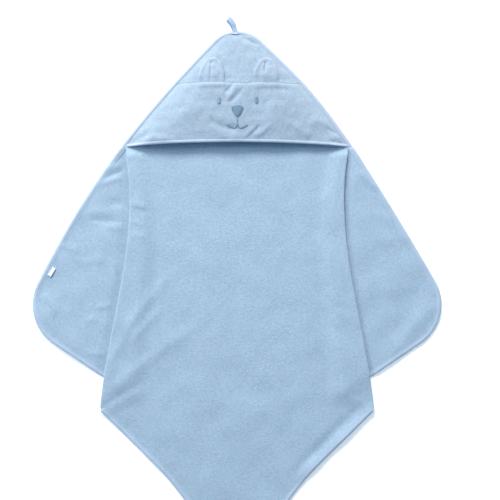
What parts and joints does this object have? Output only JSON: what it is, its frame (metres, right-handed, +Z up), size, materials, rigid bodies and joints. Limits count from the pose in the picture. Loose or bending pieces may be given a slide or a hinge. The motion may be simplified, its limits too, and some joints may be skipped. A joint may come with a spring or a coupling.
{
  "type": "hooded baby towel",
  "caption": "Square terry towel laid on its diagonal, with a bear-faced hood pocket on one corner, bound edges, two pleated side wings, a fold-up foot and a hanging loop.",
  "frame": {"origin": "middle of the towel's length and width, on the floor it lies on", "axes": "+Y towards the hood's point, +X to the viewer's right seen from above, +Z up out of the cloth"},
  "size_m": [0.8586, 1.115, 0.0258],
  "materials": {
    "terry": "matte heathered short-pile terry knit",
    "terry_back": "matte terry, back panel",
    "binding": "soft woven bias tape with a topstitch",
    "embroidery": "satin stitch thread with a light sheen",
    "loop_tape": "woven tape",
    "label": "blank white satin label"
  },
  "bodies": {
    "towel": {"centre_panel": "terry", "left_pleat": "terry", "right_pleat": "terry"},
    "left_wing": {"left_wing_panel": "terry", "left_wing_binding": "binding"},
    "right_wing": {"right_wing_panel": "terry", "right_wing_binding": "binding"},
    "foot": {"foot_panel": "terry", "foot_binding": "binding"},
    "hood": {"hood_back_panel": "terry_back", "hood_seam_margin": "terry_back", "hood_binding": "binding", "hood_face_panel": "terry", "hood_crown_panel": "terry", "crown_seam_tape": "binding", "hood_hem": "binding", "left_eye": "embroidery", "right_eye": "embroidery", "nose": "embroidery", "mouth_stem": "embroidery", "mouth_smile": "embroidery", "loop_bar_tack": "embroidery"},
    "left_ear": {"left_ear_back": "terry", "left_ear_front": "terry"},
    "right_ear": {"right_ear_back": "terry", "right_ear_front": "terry"},
    "loop": {"hanging_loop": "loop_tape"},
    "label": {"care_label": "label"}
  },
  "joints": [
    {"name": "hood_lift", "type": "hinge", "parent": "towel", "child": "hood", "pos_m": [0, 0.284, 0.004], "axis": [1, 0, 0], "range_deg": [0, 90]},
    {"name": "left_wing_fold", "type": "hinge", "parent": "towel", "child": "left_wing", "pos_m": [-0.235, 0.281, 0.0065], "axis": [0.0963, 0.9954, 0], "range_deg": [0, 175]},
    {"name": "right_wing_fold", "type": "hinge", "parent": "towel", "child": "right_wing", "pos_m": [0.235, 0.281, 0.0065], "axis": [0.0963, -0.9954, 0], "range_deg": [0, 175]},
    {"name": "foot_fold", "type": "hinge", "parent": "towel", "child": "foot", "pos_m": [0, -0.2695, 0.0065], "axis": [-1, 0, 0], "range_deg": [0, 150]},
    {"name": "left_ear_fold", "type": "hinge", "parent": "hood", "child": "left_ear", "pos_m": [-0.0555, 0.417, 0.026], "axis": [1, 0, 0], "range_deg": [0, 150]},
    {"name": "right_ear_fold", "type": "hinge", "parent": "hood", "child": "right_ear", "pos_m": [0.0575, 0.417, 0.026], "axis": [1, 0, 0], "range_deg": [0, 150]},
    {"name": "loop_swing", "type": "hinge", "parent": "hood", "child": "loop", "pos_m": [-0.004, 0.5306, 0.0048], "axis": [0.866, 0.5, 0], "range_deg": [0, 120]},
    {"name": "label_flip", "type": "hinge", "parent": "left_wing", "child": "label", "pos_m": [-0.3905, 0.0242, 0.0037], "axis": [-0.52, -0.8542, 0], "range_deg": [0, 150]}
  ]
}
